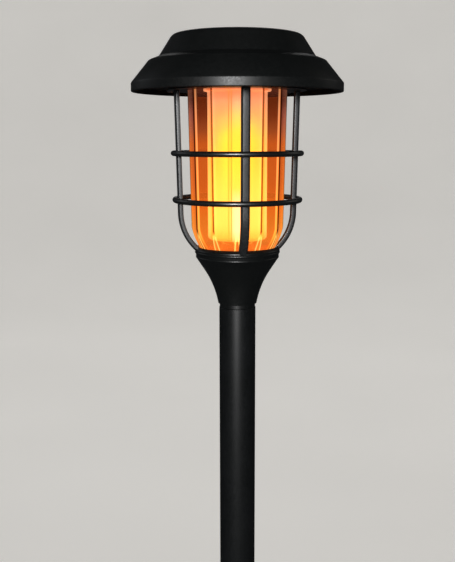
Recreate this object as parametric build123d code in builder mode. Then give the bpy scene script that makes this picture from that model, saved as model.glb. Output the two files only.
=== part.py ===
"""Solar flame torch for a garden path.

A two-tier roof carries a solar panel, a battery and a tube of flame LEDs.  It locks with
a quarter-turn bayonet onto a caged amber lens.  The cage stands on a flared collar, which
plugs into a two-section pole on a ground stake.

Units are millimetres, +Z is up, and the origin is on the axis at the soil line.
"""

import os
from math import atan2, cos, degrees, radians, sin, tan

from build123d import *

os.makedirs("parts", exist_ok=True)

# ---------------------------------------------------------------- clearances
plug_clearance = 0.2        # radial, between a push-in plug and its tube
press_clearance = 0.05      # radial, between two pieces that never part
running_gap = 0.3           # between faces of different bodies that pass each other
screw_clearance = 0.1       # radial, round a screw shank

# ---------------------------------------------------------------- pole and stake
pole_diameter = 25.4
pole_wall = 1.5
lower_section_length = 300.0
upper_section_length = 300.0
plug_length = 38.0
plug_wall = 2.2
plug_lead_in = 1.2          # chamfer at the mouth end of each plug
coupler_band = 4.0          # height of the band between the pole sections
shadow_gap = 0.35           # how far the shoulders between sections lie inside the pole
stake_length = 150.0
stake_shoulder = 5.0
stake_blade = 3.2           # thickness of each crossed blade
stake_blade_inset = 0.9     # how far the blades lie inside the pole's outline
stake_taper_start = 62.0    # depth at which the blades start to run to the point
stake_tip_width = 2.0

# ---------------------------------------------------------------- collar
lantern_height = 146.4      # from the pole's top to the bottom edge of the roof
collar_groove_height = 2.8
collar_neck_radius = 13.4
collar_cone_radius = 22.6   # where the hollow curve of the neck meets the straight cone
collar_cone_height = 26.0
collar_band_radius = 28.3
collar_band_height = 34.8   # bottom of the beaded band
collar_corner_radius = 29.3
collar_corner_height = 40.0
collar_lip_radius = 27.5
collar_lip_height = 42.7
collar_bead = 0.9
collar_bead_rise = 0.55     # how far a bead's centre lies inside the band's face
collar_bead_shares = (0.12, 0.76)  # places of the two beads up the band
collar_wall = 2.2
collar_waist_wall = 3.5     # wall where the neck's curve meets the cone
lens_seat_depth = 2.8       # how far the lens stands down inside the collar's mouth
lens_shelf_width = 5.0
lens_shelf_thickness = 3.5

# ---------------------------------------------------------------- cage
rib_width = 5.9
rib_depth = 3.6
rib_bevel = 1.2
rib_top_radius = 42.7       # outer face of a rib under the roof
rib_bend_radius = 40.8      # outer face of a rib where it starts to curve in
rib_bend_rise = 25.6        # height of that place above the collar's corner
rib_foot_overrun = 3.0      # how far a rib runs on into the collar before it is trimmed
ring_bar = 3.7
ring_bite = 0.25            # depth of the saddles that the rings lie in
upper_ring_drop = 40.3      # from the roof's bottom edge
lower_ring_drop = 71.6
rib_names = ("cage_rib_right", "cage_rib_back", "cage_rib_left", "cage_rib_front")

# ---------------------------------------------------------------- bayonet
top_ring_rise = 1.0         # underside of the cage's top ring above the roof's bottom edge
top_ring_thickness = 2.3
top_ring_radius = 46.5
neck_radius = 39.9
neck_wall = 3.0
lug_reach = 3.3
lug_height = 2.2
lug_half_angle = 6.5
lug_count = 4
lug_first_angle = 45.0
unlock_angle = 30.0
notch_margin_angle = 1.5
stop_angle = 3.0

# ---------------------------------------------------------------- roof
roof_radius = 70.9
skirt_height = 5.5
shoulder_radius = 58.8
shoulder_height = 20.2
lower_tier_bulge = 1.1      # how far the lower tier swells out from a straight cone
kink_radius = 52.2
kink_height = 23.0
roof_top_radius = 40.4
roof_height = 37.2
roof_edge_round = 2.6
roof_shoulder_round = 3.0
roof_wall = 2.0
base_recess = 3.5           # underside of the base above the roof's bottom edge
base_thickness = 2.5
base_edge_gap = 1.2         # between the base and the skirt, where the roof curves in
base_ledge = 1.6
base_screw_circle = 60.5
base_boss_radius = 3.4
screw_radius = 1.4
screw_head_radius = 2.8
screw_head_height = 1.7
screw_length = 9.0
screw_count = 4
screw_first_angle = 45.0
gasket_width = 1.6
gasket_height = 1.0
gasket_proud = 0.1

# ---------------------------------------------------------------- solar panel
panel_side = 52.0
panel_gap = 0.25
panel_board = 1.0
panel_tape = 0.5
panel_tape_width = 5.0
panel_cell = 0.25
panel_cover = 0.9
panel_border = 3.0
cell_columns = 2
cell_rows = 5
cell_gap = 1.2
panel_floor = 2.0

# ---------------------------------------------------------------- electronics
tray_floor = 2.0
tray_wall = 2.0
tray_lip = 1.8
tray_lip_height = 2.0
tray_ear_radius = 3.8
tray_screw_circle = 50.0
tray_screw_radius = 1.1
tray_screw_head = 2.1
tray_screw_head_height = 1.5
tray_screw_bite = 1.5       # how far a tray screw goes into the roof's base
lug_headroom = 0.6
flame_socket_wall = 2.2
cell_diameter = 18.4
cell_length = 65.0
cell_nipple_radius = 3.0
cell_nipple_height = 1.2
holder_wall = 1.6
holder_floor = 1.2
holder_depth = 7.0
battery_offset = -6.0
contact_thickness = 0.6
circuit_length = 44.0
circuit_width = 17.0
circuit_thickness = 1.6
circuit_standoff = 3.5
circuit_standoff_radius = 2.4
circuit_offset = 24.0
# place along the board, length, width and height of each packaged part
chips = (
    (-13.0, 9.0, 6.0, 1.8),
    (-2.0, 6.0, 6.0, 3.2),
    (7.0, 5.0, 4.0, 2.4),
    (15.0, 6.0, 9.0, 5.0),
)
switch_side = 9.0
switch_height = 5.5
switch_offset = 55.5
button_radius = 3.8
button_proud = 2.2
button_flange = 1.2
button_flange_height = 1.0
button_stem_radius = 1.6
button_travel = 1.2
button_ring_wall = 1.5

# ---------------------------------------------------------------- flame tube and lens
flame_tube_radius = 20.0
flame_tube_wall = 1.2
flame_tube_drop = 98.9
flame_flange_width = 2.6    # how far the tube's flange stands out under its socket
flame_flange_height = 2.0
flame_flange_rise = 0.7     # underside of the flange above the roof's bottom edge
led_core_radius = 13.6
led_core_wall = 1.4
led_core_clearance = 6.0    # from the core's lower end to the tube's floor
led_board_thickness = 0.4
led_columns = 12
led_rows = 8
led_width = 2.8
led_height = 3.5
led_thickness = 0.8
lens_radius = 33.6
lens_facets = 12
lens_turn = -7.4            # the facets are turned from the ribs by this angle
lens_taper = 1.25
lens_wall = 1.6
lens_flange = 1.6
lens_gasket = 0.8
lens_round_rise = 16.2      # height of the rounded lower corner
lens_round_inset = 6.8
lens_round_bulge = 0.95
lens_ledge = 1.2

# ---------------------------------------------------------------- worked-out places
pole_radius = pole_diameter / 2
bore_radius = pole_radius - pole_wall
shoulder_line = pole_radius - shadow_gap
plug_radius = bore_radius - plug_clearance
lower_pole_top = lower_section_length
upper_pole_bottom = lower_pole_top + coupler_band
pole_top = upper_pole_bottom + upper_section_length
rim = pole_top + lantern_height

collar_corner_z = pole_top + collar_corner_height
collar_lip_z = pole_top + collar_lip_height
top_ring_bottom = rim + top_ring_rise
top_ring_top = top_ring_bottom + top_ring_thickness

base_bottom = rim + base_recess
base_top = base_bottom + base_thickness
base_radius = roof_radius - roof_wall - base_edge_gap
lug_bottom = base_top + running_gap
neck_top = lug_bottom + lug_height
lug_radius = neck_radius + lug_reach
tray_underside = neck_top + lug_headroom
tray_top = tray_underside + tray_floor
tray_radius = lug_radius + tray_wall + tray_lip
flame_socket_radius = flame_tube_radius + press_clearance
flame_flange_bottom = rim + flame_flange_rise
flame_flange_top = flame_flange_bottom + flame_flange_height

roof_top = rim + roof_height
panel_stack = panel_tape + panel_board + panel_cell + panel_cover
panel_seat = roof_top - panel_stack

lens_ledge_top = top_ring_bottom + lens_ledge
lens_flange_bottom = lens_ledge_top + lens_gasket
lens_top = lens_flange_bottom + lens_flange
lens_flange_radius = neck_radius - neck_wall - running_gap
lens_floor = collar_lip_z - lens_seat_depth


def save(builder, name):
    """Label a finished piece and write it as its own STEP file."""
    builder.part.label = name
    export_step(builder.part, f"parts/{name}.step")


def polar(radius, angle):
    """Point in the XY plane at an angle in degrees."""
    return (radius * cos(radians(angle)), radius * sin(radians(angle)))


# ================================================================ stake and pole
with BuildPart() as ground_stake:
    for blade_plane in (Plane.XZ, Plane.YZ):
        with BuildSketch(blade_plane):
            with BuildLine():
                blade_edge = pole_radius - stake_blade_inset
                Polyline(
                    (-blade_edge, -stake_shoulder),
                    (-blade_edge, -stake_taper_start),
                    (-stake_tip_width / 2, -stake_length),
                    (stake_tip_width / 2, -stake_length),
                    (blade_edge, -stake_taper_start),
                    (blade_edge, -stake_shoulder),
                    close=True,
                )
            make_face()
        extrude(amount=stake_blade / 2, both=True)
    with BuildSketch(Plane.XY.offset(-stake_shoulder)):
        Circle(shoulder_line)
    extrude(amount=stake_shoulder)
    with BuildSketch(Plane.XY):
        Circle(plug_radius)
        Circle(plug_radius - plug_wall, mode=Mode.SUBTRACT)
    extrude(amount=plug_length)
    plug_mouth = ground_stake.edges().filter_by(GeomType.CIRCLE).group_by(Axis.Z)[-1]
    chamfer(plug_mouth.sort_by(SortBy.RADIUS)[-1], plug_lead_in)
save(ground_stake, "ground_stake")


def pole_section(bottom, length):
    """Plain round tube of the pole, with softened outer ends."""
    with BuildPart() as section:
        with BuildSketch(Plane.XY.offset(bottom)):
            Circle(pole_radius)
            Circle(bore_radius, mode=Mode.SUBTRACT)
        extrude(amount=length)
        rims = section.edges().filter_by(GeomType.CIRCLE).group_by(SortBy.RADIUS)[-1]
        chamfer(rims, pole_wall / 5)
    return section


save(pole_section(0, lower_section_length), "lower_pole")
save(pole_section(upper_pole_bottom, upper_section_length), "upper_pole")

with BuildPart() as pole_coupler:
    with BuildSketch(Plane.XY.offset(lower_pole_top)):
        Circle(shoulder_line)
    extrude(amount=coupler_band)
    with BuildSketch(Plane.XY.offset(lower_pole_top - plug_length)):
        Circle(bore_radius - press_clearance)
    extrude(amount=plug_length)
    with BuildSketch(Plane.XY.offset(upper_pole_bottom)):
        Circle(plug_radius)
    extrude(amount=plug_length)
    coupler_ends = pole_coupler.edges().filter_by(GeomType.CIRCLE).group_by(Axis.Z)
    chamfer(coupler_ends[0] + coupler_ends[-1], plug_lead_in)
    with BuildSketch(Plane.XY.offset(lower_pole_top - plug_length)):
        Circle(plug_radius - plug_wall)
    extrude(amount=2 * plug_length + coupler_band, mode=Mode.SUBTRACT)
save(pole_coupler, "pole_coupler")

# ================================================================ collar
# The outside is a hollow-curved neck that runs into a cone and a band with two beads.
cone_run = collar_band_radius - collar_cone_radius
cone_rise = collar_band_height - collar_cone_height
collar_bore = plug_radius - plug_wall
lens_room = lens_floor - running_gap

with BuildPart() as collar_form:
    with BuildSketch(Plane.XZ):
        with BuildLine():
            neck_foot = (collar_neck_radius, pole_top + collar_groove_height)
            cone_foot = (collar_cone_radius, pole_top + collar_cone_height)
            band_foot = (collar_band_radius, pole_top + collar_band_height)
            Polyline(
                (0, pole_top),
                (shoulder_line, pole_top),
                (shoulder_line, pole_top + collar_groove_height),
                neck_foot,
            )
            TangentArc(cone_foot, neck_foot, tangent=(-cone_run, -cone_rise))
            Polyline(
                cone_foot,
                band_foot,
                (collar_corner_radius, collar_corner_z),
                (collar_lip_radius, collar_lip_z),
                (0, collar_lip_z),
                (0, pole_top),
            )
        make_face()
        band_slope = collar_corner_radius - collar_band_radius
        band_rise = collar_corner_height - collar_band_height
        for bead_share in collar_bead_shares:
            bead_r = collar_band_radius + band_slope * bead_share - collar_bead_rise
            with Locations((bead_r, pole_top + collar_band_height + band_rise * bead_share)):
                Circle(collar_bead)
    revolve(axis=Axis.Z)

with BuildPart() as collar:
    add(collar_form.part)
    with BuildSketch(Plane.XY.offset(pole_top)):
        Circle(plug_radius)
    extrude(amount=-plug_length)
    plug_tip = collar.edges().filter_by(GeomType.CIRCLE).group_by(Axis.Z)[0]
    chamfer(plug_tip, plug_lead_in)
    # inside: the lens's seat, then a hollow that follows the neck, then the plug's bore
    with BuildSketch(Plane.XZ):
        with BuildLine():
            mouth_radius = collar_lip_radius - running_gap
            shelf_radius = mouth_radius - lens_shelf_width
            hollow_foot = (collar_bore, pole_top + collar_groove_height + collar_wall)
            hollow_waist = (collar_cone_radius - collar_waist_wall, pole_top + collar_cone_height)
            Polyline(
                (0, collar_lip_z + collar_wall),
                (mouth_radius, collar_lip_z + collar_wall),
                (mouth_radius, lens_room),
                (shelf_radius, lens_room),
                (shelf_radius, lens_room - lens_shelf_thickness),
                hollow_waist,
                hollow_foot,
                (collar_bore, pole_top - plug_length - collar_wall),
                (0, pole_top - plug_length - collar_wall),
                (0, collar_lip_z + collar_wall),
            )
        make_face()
    revolve(axis=Axis.Z, mode=Mode.SUBTRACT)
save(collar, "collar")

# ================================================================ cage
upper_ring_z = rim - upper_ring_drop
lower_ring_z = rim - lower_ring_drop
bend_z = collar_corner_z + rib_bend_rise
straight_fall = top_ring_top - bend_z
rib_lean = (rib_top_radius - rib_bend_radius) / straight_fall


def rib_face_radius(height):
    """Radius of a rib's outer face on its straight stretch."""
    return rib_bend_radius + rib_lean * (height - bend_z)


def cage_hoop(height, grow=0.0):
    """Round bar bent to a hoop that lies on the four ribs; grow fattens the bar."""
    hoop_radius = rib_face_radius(height) - ring_bite + ring_bar / 2
    with BuildPart() as hoop:
        with BuildSketch(Plane.XZ):
            with Locations((hoop_radius, height)):
                Circle(ring_bar / 2 + grow)
        revolve(axis=Axis.Z)
    return hoop


save(cage_hoop(upper_ring_z), "upper_cage_ring")
save(cage_hoop(lower_ring_z), "lower_cage_ring")
# slightly fatter hoops cut the saddles in the ribs
saddles = [cage_hoop(height, press_clearance).part for height in (upper_ring_z, lower_ring_z)]


def cage_rib(angle):
    """Bevelled flat rib: straight down from the top ring, then curved in to the collar."""
    rib_plane = Plane.XZ.rotated((0, 0, angle))
    with BuildPart() as rib:
        with BuildLine(rib_plane) as spine:
            straight = Line((rib_top_radius, top_ring_top), (rib_bend_radius, bend_z))
            foot = rib_plane.from_local_coords((collar_corner_radius, collar_corner_z, 0))
            bend = TangentArc(straight @ 1, foot, tangent=straight % 1)
            Line(bend @ 1, bend @ 1 + (bend % 1) * rib_foot_overrun)
        section_plane = Plane(spine.line @ 0, x_dir=rib_plane.z_dir, z_dir=spine.line % 0)
        with BuildSketch(section_plane):
            half = rib_width / 2
            with BuildLine():
                Polyline(
                    (-half, rib_depth),
                    (-half, rib_bevel),
                    (-half + rib_bevel, 0),
                    (half - rib_bevel, 0),
                    (half, rib_bevel),
                    (half, rib_depth),
                    close=True,
                )
            make_face()
        sweep(path=spine.line)
        split(bisect_by=Plane.XY.offset(top_ring_bottom), keep=Keep.BOTTOM)
        for saddle in saddles:
            add(saddle, mode=Mode.SUBTRACT)
        add(collar_form.part, mode=Mode.SUBTRACT)
    return rib


for number, rib_name in enumerate(rib_names):
    save(cage_rib(90 * number), rib_name)

with BuildPart() as cage_top_ring:
    with BuildSketch(Plane.XZ):
        with BuildLine():
            ledge_radius = lens_radius + running_gap
            neck_bore = neck_radius - neck_wall
            Polyline(
                (ledge_radius, top_ring_bottom),
                (top_ring_radius, top_ring_bottom),
                (top_ring_radius, top_ring_top),
                (neck_radius, top_ring_top),
                (neck_radius, neck_top),
                (neck_bore, neck_top),
                (neck_bore, lens_ledge_top),
                (ledge_radius, lens_ledge_top),
                close=True,
            )
        make_face()
    revolve(axis=Axis.Z)
    # lugs that stand out over the roof's base and lock it down
    with BuildSketch(Plane.XY.offset(lug_bottom)):
        for lug in range(lug_count):
            lug_angle = lug_first_angle + 360 / lug_count * lug
            with BuildLine():
                lug_start = lug_angle - lug_half_angle
                Line(polar(neck_bore + neck_wall / 2, lug_start), polar(lug_radius, lug_start))
                CenterArc((0, 0), lug_radius, lug_start, 2 * lug_half_angle)
                lug_end = lug_angle + lug_half_angle
                Line(polar(lug_radius, lug_end), polar(neck_bore + neck_wall / 2, lug_end))
                CenterArc((0, 0), neck_bore + neck_wall / 2, lug_end, -2 * lug_half_angle)
            make_face()
    extrude(amount=lug_height)
save(cage_top_ring, "cage_top_ring")

# ================================================================ lens
def lens_form(inset, top, floor):
    """Tapered twelve-sided cup with a rounded lower corner, shrunk by an inset."""
    with BuildPart() as form:
        with BuildSketch(Plane.XY.offset(top)):
            RegularPolygon(lens_radius - inset, lens_facets, rotation=lens_turn)
        extrude(amount=top - floor, dir=(0, 0, -1), taper=lens_taper)
        with BuildSketch(Plane.XZ):
            with BuildLine():
                fall = lens_top - lens_floor - lens_round_rise
                side_radius = lens_radius - fall * tan(radians(lens_taper)) - inset
                round_top = (side_radius, lens_floor + lens_round_rise)
                round_foot = (side_radius - lens_round_inset, floor)
                SagittaArc(round_foot, round_top, -lens_round_bulge)
                Polyline(
                    round_top,
                    (lens_radius, top),
                    (0, top),
                    (0, floor),
                    round_foot,
                )
            make_face()
        revolve(axis=Axis.Z, mode=Mode.INTERSECT)
    return form.part


with BuildPart() as lens:
    add(lens_form(0, lens_top, lens_floor))
    with BuildSketch(Plane.XY.offset(lens_flange_bottom)):
        Circle(lens_flange_radius)
    extrude(amount=lens_flange)
    add(lens_form(lens_wall, lens_top, lens_floor + lens_wall), mode=Mode.SUBTRACT)
save(lens, "lens")

with BuildPart() as lens_gasket_ring:
    with BuildSketch(Plane.XY.offset(lens_ledge_top)):
        Circle(lens_flange_radius)
        Circle(lens_radius + running_gap, mode=Mode.SUBTRACT)
    extrude(amount=lens_gasket)
save(lens_gasket_ring, "lens_gasket")

# ================================================================ roof
# Outer line of the roof from the skirt's lower edge, up both tiers, to the axis.
with BuildLine() as roof_line:
    skirt_top = (roof_radius, rim + skirt_height)
    shoulder = (shoulder_radius, rim + shoulder_height)
    Line((roof_radius, rim), skirt_top)
    SagittaArc(skirt_top, shoulder, -lower_tier_bulge)
    Polyline(
        shoulder,
        (kink_radius, rim + kink_height),
        (roof_top_radius, roof_top),
        (0, roof_top),
    )
    top_edge = roof_line.vertices().sort_by(Axis.X)[1]
    fillet(top_edge, roof_edge_round)
    shoulder_corner = roof_line.vertices().sort_by_distance((*shoulder, 0))[0]
    fillet(shoulder_corner, roof_shoulder_round)
roof_outside = roof_line.wires()[0]
roof_inside = roof_outside.offset_2d(roof_wall, kind=Kind.INTERSECTION, side=Side.LEFT, closed=False)


def roof_solid(line, radius, top):
    """Solid of revolution under one line of the roof."""
    with BuildPart() as form:
        with BuildSketch(Plane.XZ):
            with BuildLine():
                add(line)
                Polyline((0, top), (0, rim), (radius, rim))
            make_face()
        revolve(axis=Axis.Z)
    return form.part


roof_form = roof_solid(roof_outside, roof_radius, roof_top)
roof_hollow = roof_solid(roof_inside, roof_radius - roof_wall, roof_top - roof_wall)

with BuildPart() as roof_bosses:
    with BuildSketch(Plane.XY.offset(base_top)):
        with PolarLocations(base_screw_circle, screw_count, start_angle=screw_first_angle):
            Circle(base_boss_radius)
    extrude(amount=roof_height)
    with BuildSketch(Plane.XY.offset(panel_seat - panel_floor)):
        Rectangle(panel_side + 2 * panel_floor, panel_side + 2 * panel_floor)
    extrude(amount=panel_stack + panel_floor)
    with BuildSketch(Plane.XY.offset(base_top)):
        Circle(roof_radius)
        Circle(base_radius - base_ledge, mode=Mode.SUBTRACT)
    extrude(amount=roof_wall)
    add(roof_form, mode=Mode.INTERSECT)

with BuildPart() as roof_cap:
    add(roof_form)
    add(roof_hollow, mode=Mode.SUBTRACT)
    add(roof_bosses.part)
    with BuildSketch(Plane.XY.offset(roof_top)):
        Rectangle(panel_side + 2 * panel_gap, panel_side + 2 * panel_gap)
    extrude(amount=-panel_stack, mode=Mode.SUBTRACT)
    with BuildSketch(Plane.XY.offset(base_top)):
        with PolarLocations(base_screw_circle, screw_count, start_angle=screw_first_angle):
            Circle(screw_radius + press_clearance)
    extrude(amount=screw_length - base_thickness, mode=Mode.SUBTRACT)
save(roof_cap, "roof_cap")

# ================================================================ solar panel
def square_layer(bottom, thickness, side):
    """Flat square sheet of the panel."""
    with BuildPart() as layer:
        with BuildSketch(Plane.XY.offset(bottom)):
            Rectangle(side, side)
        extrude(amount=thickness)
    return layer


with BuildPart() as panel_tape_frame:
    with BuildSketch(Plane.XY.offset(panel_seat)):
        Rectangle(panel_side, panel_side)
        tape_window = panel_side - 2 * panel_tape_width
        Rectangle(tape_window, tape_window, mode=Mode.SUBTRACT)
    extrude(amount=panel_tape)
save(panel_tape_frame, "panel_tape")

board_bottom = panel_seat + panel_tape
save(square_layer(board_bottom, panel_board, panel_side), "solar_panel_board")

with BuildPart() as solar_cells:
    cell_field = panel_side - 2 * panel_border
    cell_width = (cell_field - (cell_columns - 1) * cell_gap) / cell_columns
    cell_height = (cell_field - (cell_rows - 1) * cell_gap) / cell_rows
    with BuildSketch(Plane.XY.offset(board_bottom + panel_board)):
        with GridLocations(cell_width + cell_gap, cell_height + cell_gap, cell_columns, cell_rows):
            Rectangle(cell_width, cell_height)
    extrude(amount=panel_cell)
save(solar_cells, "solar_cells")

cover_bottom = board_bottom + panel_board + panel_cell
save(square_layer(cover_bottom, panel_cover, panel_side), "solar_panel_cover")

# ================================================================ base of the roof
with BuildPart() as cap_base:
    with BuildSketch(Plane.XY.offset(base_bottom)):
        Circle(base_radius)
        Circle(neck_radius + running_gap, mode=Mode.SUBTRACT)
    extrude(amount=base_thickness)
    # entry notches that let the lugs through when the roof is turned to unlock
    notch_half_angle = lug_half_angle + notch_margin_angle
    notch_radius = lug_radius + running_gap
    with BuildSketch(Plane.XY.offset(base_bottom)):
        for lug in range(lug_count):
            lug_angle = lug_first_angle + 360 / lug_count * lug
            notch_start = lug_angle - unlock_angle - notch_half_angle
            with BuildLine():
                Line((0, 0), polar(notch_radius, notch_start))
                CenterArc((0, 0), notch_radius, notch_start, 2 * notch_half_angle)
                Line(polar(notch_radius, notch_start + 2 * notch_half_angle), (0, 0))
            make_face()
    extrude(amount=base_thickness, mode=Mode.SUBTRACT)
    # two stops for each lug: one at the locked place, one past the notch
    with BuildSketch(Plane.XY.offset(base_top)):
        gap_angle = degrees(atan2(running_gap, lug_radius))
        for lug in range(lug_count):
            lug_angle = lug_first_angle + 360 / lug_count * lug
            locked_stop = lug_angle + lug_half_angle + gap_angle
            open_stop = lug_angle - unlock_angle - notch_half_angle - stop_angle
            for stop_start in (locked_stop, open_stop):
                with BuildLine():
                    stop_end = stop_start + stop_angle
                    inner = neck_radius + 2 * running_gap
                    Line(polar(inner, stop_start), polar(lug_radius, stop_start))
                    CenterArc((0, 0), lug_radius, stop_start, stop_angle)
                    Line(polar(lug_radius, stop_end), polar(inner, stop_end))
                    CenterArc((0, 0), inner, stop_end, -stop_angle)
                make_face()
    extrude(amount=lug_height)
    # groove for the seal, screw holes, and the ring and hole of the switch
    gasket_middle = (notch_radius + top_ring_radius) / 2
    with BuildSketch(Plane.XY.offset(base_bottom)):
        Circle(gasket_middle + gasket_width / 2)
        Circle(gasket_middle - gasket_width / 2, mode=Mode.SUBTRACT)
    extrude(amount=gasket_height - gasket_proud, mode=Mode.SUBTRACT)
    with BuildSketch(Plane.XY.offset(base_bottom)):
        with PolarLocations(base_screw_circle, screw_count, start_angle=screw_first_angle):
            Circle(screw_radius + screw_clearance)
    extrude(amount=base_thickness, mode=Mode.SUBTRACT)
    with BuildSketch(Plane.XY.offset(base_top)):
        with PolarLocations(tray_screw_circle, screw_count, start_angle=screw_first_angle):
            Circle(tray_screw_radius + press_clearance)
    extrude(amount=-(tray_screw_bite + running_gap), mode=Mode.SUBTRACT)
    button_room = button_flange_height + button_travel + running_gap
    button_flange_radius = button_radius + button_flange
    with BuildSketch(Plane.XY.offset(base_top)):
        with Locations((0, switch_offset)):
            Circle(button_flange_radius + running_gap + button_ring_wall)
            Circle(button_flange_radius + running_gap, mode=Mode.SUBTRACT)
    extrude(amount=button_room)
    with BuildSketch(Plane.XY.offset(base_bottom)):
        with Locations((0, switch_offset)):
            Circle(button_radius + running_gap)
    extrude(amount=base_thickness, mode=Mode.SUBTRACT)
save(cap_base, "cap_base")

with BuildPart() as cap_gasket:
    with BuildSketch(Plane.XY.offset(base_bottom - gasket_proud)):
        Circle(gasket_middle + gasket_width / 2)
        Circle(gasket_middle - gasket_width / 2, mode=Mode.SUBTRACT)
    extrude(amount=gasket_height)
save(cap_gasket, "cap_gasket")


def screw_group(circle, head_plane, head_radius, head_height, shank_radius, shank_length, up):
    """Four pan-head screws; up is +1 where the shank points up from its head."""
    with BuildPart() as screws:
        with BuildSketch(Plane.XY.offset(head_plane)):
            with PolarLocations(circle, screw_count, start_angle=screw_first_angle):
                Circle(head_radius)
        extrude(amount=-up * head_height)
        with BuildSketch(Plane.XY.offset(head_plane)):
            with PolarLocations(circle, screw_count, start_angle=screw_first_angle):
                Circle(shank_radius)
        extrude(amount=up * shank_length)
    return screws


cap_base_screws = screw_group(
    base_screw_circle,
    base_bottom,
    screw_head_radius,
    screw_head_height,
    screw_radius,
    screw_length - running_gap,
    1,
)
save(cap_base_screws, "cap_base_screws")

# ================================================================ switch
with BuildPart() as switch_body:
    switch_seat = base_top + button_room
    with BuildSketch(Plane.XY.offset(switch_seat)):
        with Locations((0, switch_offset)):
            Rectangle(switch_side, switch_side)
    extrude(amount=switch_height)
    chamfer(switch_body.edges().filter_by(Axis.Z), switch_side / 12)
    with BuildSketch(Plane.XY.offset(switch_seat)):
        with Locations((0, switch_offset)):
            Circle(button_stem_radius + screw_clearance)
    extrude(amount=switch_height / 2, mode=Mode.SUBTRACT)
save(switch_body, "switch_body")

with BuildPart() as power_button:
    with BuildSketch(Plane.XY.offset(base_bottom - button_proud)):
        with Locations((0, switch_offset)):
            Circle(button_radius)
    extrude(amount=button_proud + base_thickness)
    press_face = power_button.edges().filter_by(GeomType.CIRCLE).group_by(Axis.Z)[0]
    chamfer(press_face, button_radius / 6)
    with BuildSketch(Plane.XY.offset(base_top)):
        with Locations((0, switch_offset)):
            Circle(button_flange_radius)
    extrude(amount=button_flange_height)
    with BuildSketch(Plane.XY.offset(base_top + button_flange_height)):
        with Locations((0, switch_offset)):
            Circle(button_stem_radius)
    extrude(amount=button_travel + running_gap + switch_height / 4)
save(power_button, "power_button")

# ================================================================ tray for the electronics
with BuildPart() as electronics_tray:
    with BuildSketch(Plane.XZ):
        with BuildLine():
            chamber = lug_radius + running_gap * 2
            wall_radius = chamber + tray_wall
            socket_outer = flame_socket_radius + flame_socket_wall
            Polyline(
                (0, tray_underside),
                (flame_socket_radius, tray_underside),
                (flame_socket_radius, flame_flange_top),
                (socket_outer, flame_flange_top),
                (socket_outer, tray_underside),
                (chamber, tray_underside),
                (chamber, base_top),
                (tray_radius, base_top),
                (tray_radius, base_top + tray_lip_height),
                (wall_radius, base_top + tray_lip_height),
                (wall_radius, tray_top),
                (0, tray_top),
                (0, tray_underside),
            )
        make_face()
    revolve(axis=Axis.Z)
    with BuildSketch(Plane.XY.offset(base_top)):
        with PolarLocations(tray_screw_circle, screw_count, start_angle=screw_first_angle):
            Circle(tray_ear_radius)
    extrude(amount=tray_lip_height)
    with BuildSketch(Plane.XY.offset(base_top)):
        Circle(chamber)
        Circle(socket_outer, mode=Mode.SUBTRACT)
    extrude(amount=tray_lip_height, mode=Mode.SUBTRACT)
    with BuildSketch(Plane.XY.offset(base_top)):
        with PolarLocations(tray_screw_circle, screw_count, start_angle=screw_first_angle):
            Circle(tray_screw_radius + screw_clearance)
    extrude(amount=tray_lip_height, mode=Mode.SUBTRACT)
    with BuildSketch(Plane.XY.offset(tray_top)):
        with Locations((0, circuit_offset)):
            with GridLocations(
                circuit_length - 3 * circuit_standoff_radius,
                circuit_width - 3 * circuit_standoff_radius,
                2,
                2,
            ):
                Circle(circuit_standoff_radius)
    extrude(amount=circuit_standoff)
save(electronics_tray, "electronics_tray")

tray_screws = screw_group(
    tray_screw_circle,
    base_top + tray_lip_height,
    tray_screw_head,
    tray_screw_head_height,
    tray_screw_radius,
    tray_lip_height + tray_screw_bite,
    -1,
)
save(tray_screws, "tray_screws")

with BuildPart() as circuit_board:
    circuit_bottom = tray_top + circuit_standoff
    with BuildSketch(Plane.XY.offset(circuit_bottom)):
        with Locations((0, circuit_offset)):
            RectangleRounded(circuit_length, circuit_width, circuit_thickness)
    extrude(amount=circuit_thickness)
save(circuit_board, "circuit_board")

with BuildPart() as circuit_parts:
    for chip_x, chip_length, chip_width, chip_height in chips:
        with BuildSketch(Plane.XY.offset(circuit_bottom + circuit_thickness)):
            with Locations((chip_x, circuit_offset)):
                Rectangle(chip_length, chip_width)
        extrude(amount=chip_height)
save(circuit_parts, "circuit_parts")

# ================================================================ battery
cell_radius = cell_diameter / 2
cell_axis_z = tray_top + holder_floor + press_clearance + cell_radius
holder_inner = cell_length + cell_nipple_height + 2 * contact_thickness

with BuildPart() as battery_holder:
    holder_length = holder_inner + 2 * holder_wall
    holder_width = cell_diameter + 2 * holder_wall
    with BuildSketch(Plane.XY.offset(tray_top)):
        with Locations((0, battery_offset)):
            Rectangle(holder_length, holder_width)
    extrude(amount=holder_floor + holder_depth + cell_radius / 2)
    with BuildSketch(Plane.XY.offset(cell_axis_z - cell_radius - press_clearance)):
        with Locations((0, battery_offset)):
            Rectangle(holder_inner, cell_diameter + 2 * press_clearance)
    extrude(amount=cell_diameter, mode=Mode.SUBTRACT)
    with BuildSketch(Plane.XY.offset(tray_top + holder_depth)):
        with Locations((0, battery_offset)):
            Rectangle(holder_inner - 4 * holder_wall, holder_width)
    extrude(amount=cell_diameter, mode=Mode.SUBTRACT)
save(battery_holder, "battery_holder")

cell_start = -holder_inner / 2 + contact_thickness
with BuildPart() as battery_cell:
    with BuildSketch(Plane.YZ.offset(cell_start)):
        with Locations((battery_offset, cell_axis_z)):
            Circle(cell_radius)
    extrude(amount=cell_length)
    can_ends = battery_cell.edges().filter_by(GeomType.CIRCLE)
    chamfer(can_ends, cell_radius / 12)
    with BuildSketch(Plane.YZ.offset(cell_start + cell_length)):
        with Locations((battery_offset, cell_axis_z)):
            Circle(cell_nipple_radius)
    extrude(amount=cell_nipple_height)
save(battery_cell, "battery_cell")

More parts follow.
